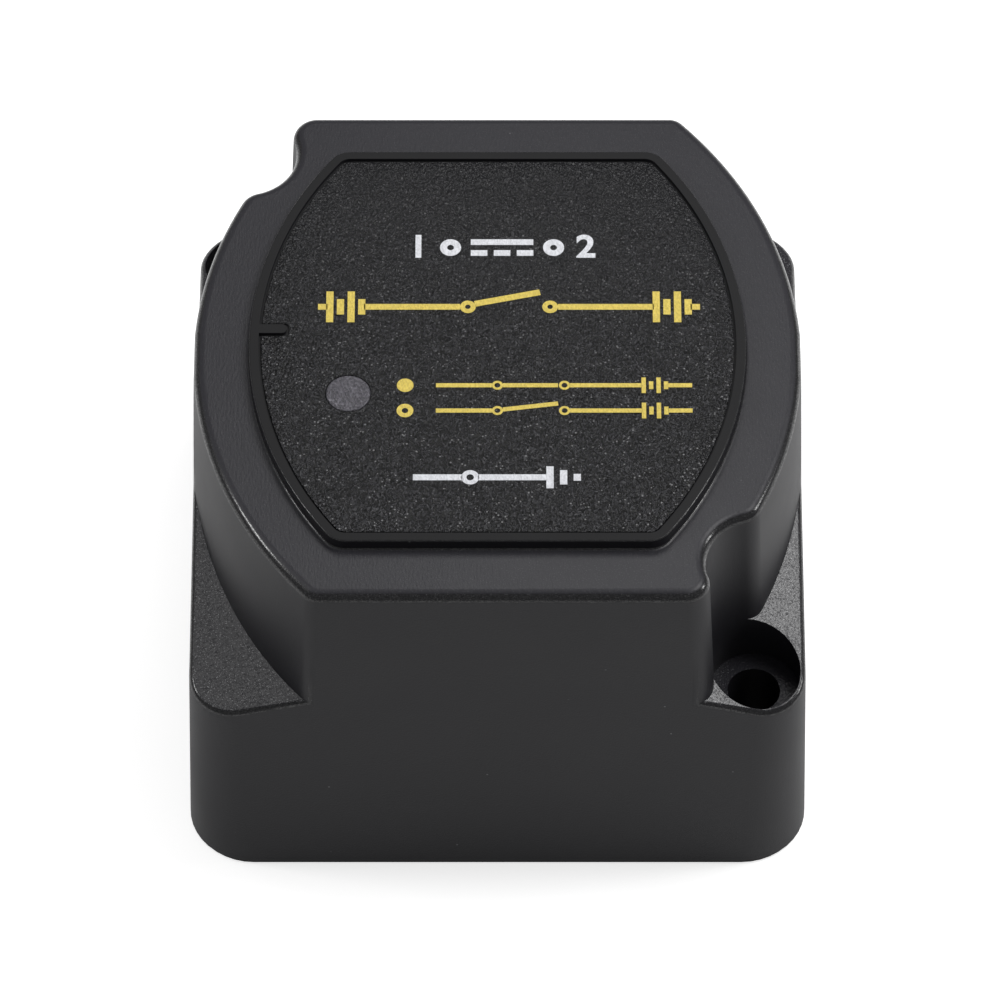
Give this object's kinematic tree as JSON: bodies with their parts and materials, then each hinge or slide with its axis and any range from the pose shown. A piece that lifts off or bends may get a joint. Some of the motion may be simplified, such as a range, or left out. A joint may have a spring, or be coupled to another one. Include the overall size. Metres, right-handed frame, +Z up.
{
  "type": "battery isolator relay",
  "caption": "Square black relay box with a barrel-shaped hump and sloped corner flanges; diagonal screw pockets, a status lamp window on top and cable studs in an open skirt below.",
  "frame": {"origin": "middle of the foot: the underside of the housing's skirt, on the surface that the relay stands on", "axes": "+Z up through the label, -Y towards the viewer of the picture, +X to the right of the label"},
  "size_m": [0.068, 0.068, 0.05],
  "materials": {
    "housing": "matte black moulded plastic with a fine grain",
    "plate_plastic": "matte black moulded insulator",
    "label": "pebbled satin black overlay",
    "lamp_window": "smoked translucent grey, pebbled like the label",
    "board": "green solder mask",
    "lamp": "clear lamp body",
    "chip_body": "black moulding compound",
    "capacitor_sleeve": "dark blue shrink sleeve",
    "ceramic": "tan ceramic",
    "bobbin_nylon": "natural nylon",
    "enamelled_copper": "enamelled copper wire",
    "tinned_copper": "tinned",
    "soft_iron": "turned and plated",
    "stainless": "turned",
    "spring_steel": "drawn wire",
    "zinc_steel": "zinc plated",
    "brass": "turned brass",
    "copper": "bare copper",
    "copper_stud": "rolled copper thread",
    "contact_silver": "silver alloy",
    "gasket_rubber": "black sheet rubber",
    "red_sleeve": "red insulation",
    "black_sleeve": "black insulation"
  },
  "bodies": {
    "relay_case": {"housing": "housing", "label": "label", "lamp_window": "lamp_window", "circuit_board": "board", "board_screws": "zinc_steel", "status_lamp": "lamp", "microcontroller": "chip_body", "voltage_regulator": "chip_body", "driver_transistor": "chip_body", "flyback_diode": "chip_body", "surge_suppressor": "chip_body", "filter_capacitor": "capacitor_sleeve", "chip_resistors": "chip_body", "chip_capacitors": "ceramic", "coil_bobbin": "bobbin_nylon", "coil_winding": "enamelled_copper", "coil_pins": "tinned_copper", "pole_core": "soft_iron", "guide_sleeve": "brass", "coil_frame": "zinc_steel", "frame_cap": "zinc_steel", "frame_screws": "zinc_steel", "return_spring": "spring_steel", "terminal_plate": "plate_plastic", "gasket": "gasket_rubber", "plate_screws": "zinc_steel", "left_stud": "copper_stud", "right_stud": "copper_stud", "left_contact_tip": "contact_silver", "right_contact_tip": "contact_silver", "left_sense_tab": "brass", "right_sense_tab": "brass", "sense_leads": "red_sleeve", "ground_blade": "brass", "ground_lead": "black_sleeve", "flat_washers": "zinc_steel", "lock_washers": "spring_steel", "terminal_nuts": "brass"},
    "contact_bridge": {"contact_bridge": "copper", "moving_contact_tips": "contact_silver", "contact_spring": "spring_steel"},
    "plunger": {"plunger": "soft_iron", "push_rod": "stainless", "spring_collar": "stainless", "retaining_clip": "spring_steel"}
  },
  "joints": [
    {"name": "bridge_slide", "type": "slide", "parent": "relay_case", "child": "contact_bridge", "axis": [0, 0, -1], "range_m": [0, 0.002], "stiffness_N_per_m": 1500, "springref_m": -0.002, "deforming": ["return_spring"]},
    {"name": "plunger_overtravel", "type": "slide", "parent": "contact_bridge", "child": "plunger", "axis": [0, 0, -1], "range_m": [0, 0.0005], "stiffness_N_per_m": 3000, "springref_m": -0.001, "deforming": ["contact_spring"]}
  ]
}
